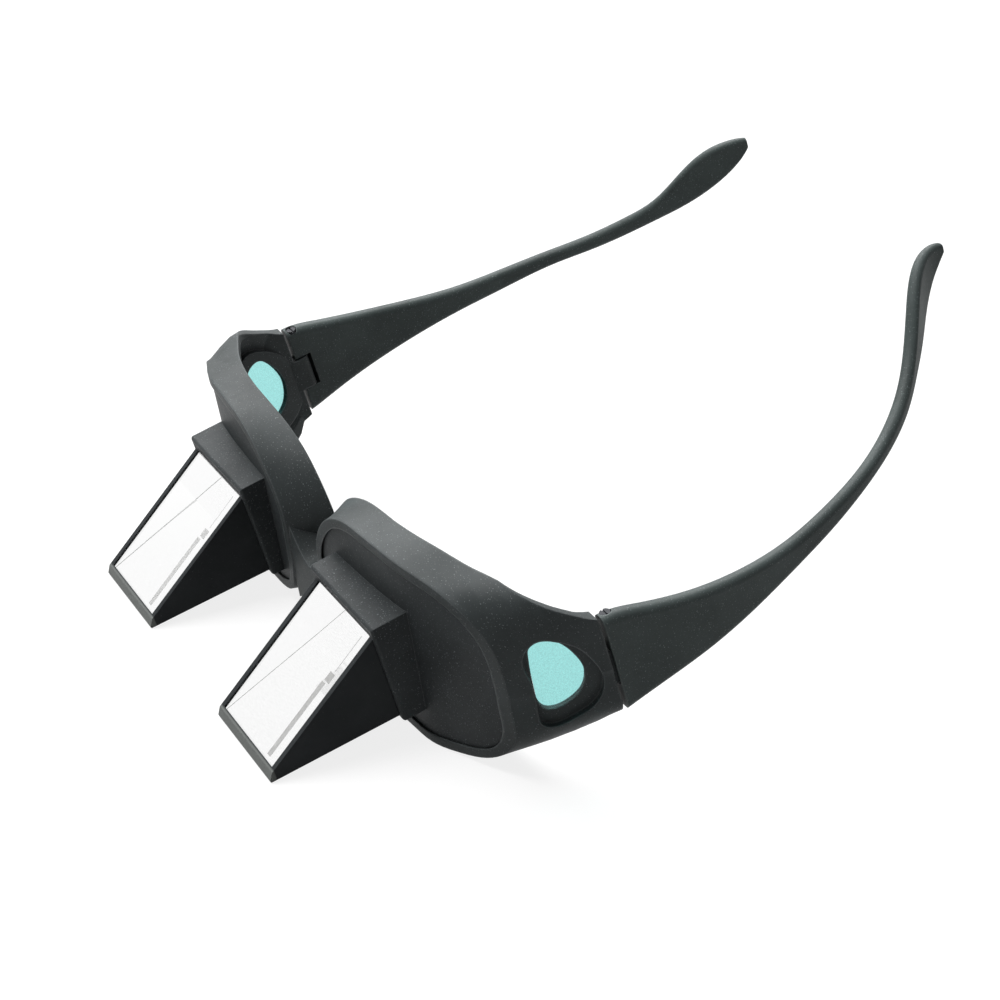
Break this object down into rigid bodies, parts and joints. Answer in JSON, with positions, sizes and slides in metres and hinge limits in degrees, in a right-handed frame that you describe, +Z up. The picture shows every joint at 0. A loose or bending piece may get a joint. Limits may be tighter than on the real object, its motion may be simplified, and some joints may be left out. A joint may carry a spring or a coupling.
{
  "type": "prism bed glasses",
  "caption": "Wrap-round spectacles with a forward prism casing before each eye, tinted side windows and folding temples.",
  "frame": {"origin": "middle of the bounding box in X and Y, on the surface that the glasses stand on", "axes": "+Z up as the glasses stand in the picture, on the casings' tips and the cups' lower edges; X across the width, with the right_ pieces on +X; +Y back towards the temple tips; the prism casings point to -Y"},
  "size_m": [0.1588, 0.1636, 0.0814],
  "materials": {
    "frame_plastic": "fine-textured soft matte",
    "holder_plastic": "fine-textured soft matte",
    "casing_plastic": "smooth matte",
    "temple_plastic": "fine-textured soft matte",
    "prism_glass": "polished",
    "window_tint": "clear tinted plastic",
    "screw_steel": "plain"
  },
  "bodies": {
    "front": {"front_frame": "frame_plastic", "right_prism_holder": "holder_plastic", "right_prism_casing": "casing_plastic", "right_prism": "prism_glass", "right_prism_bezel": "casing_plastic", "right_side_window": "window_tint", "left_prism_holder": "holder_plastic", "left_prism_casing": "casing_plastic", "left_prism": "prism_glass", "left_prism_bezel": "casing_plastic", "left_side_window": "window_tint"},
    "right_arm": {"right_temple": "temple_plastic", "right_hinge_screw": "screw_steel"},
    "left_arm": {"left_temple": "temple_plastic", "left_hinge_screw": "screw_steel"}
  },
  "joints": [
    {"name": "right_temple_fold", "type": "hinge", "parent": "front", "child": "right_arm", "pos_m": [0.076, -0.01914, 0.02662], "axis": [0, -0.2807, 0.9598], "range_deg": [0, 78]},
    {"name": "left_temple_fold", "type": "hinge", "parent": "front", "child": "left_arm", "pos_m": [-0.076, -0.01914, 0.02662], "axis": [0, 0.2807, -0.9598], "range_deg": [0, 66]}
  ]
}
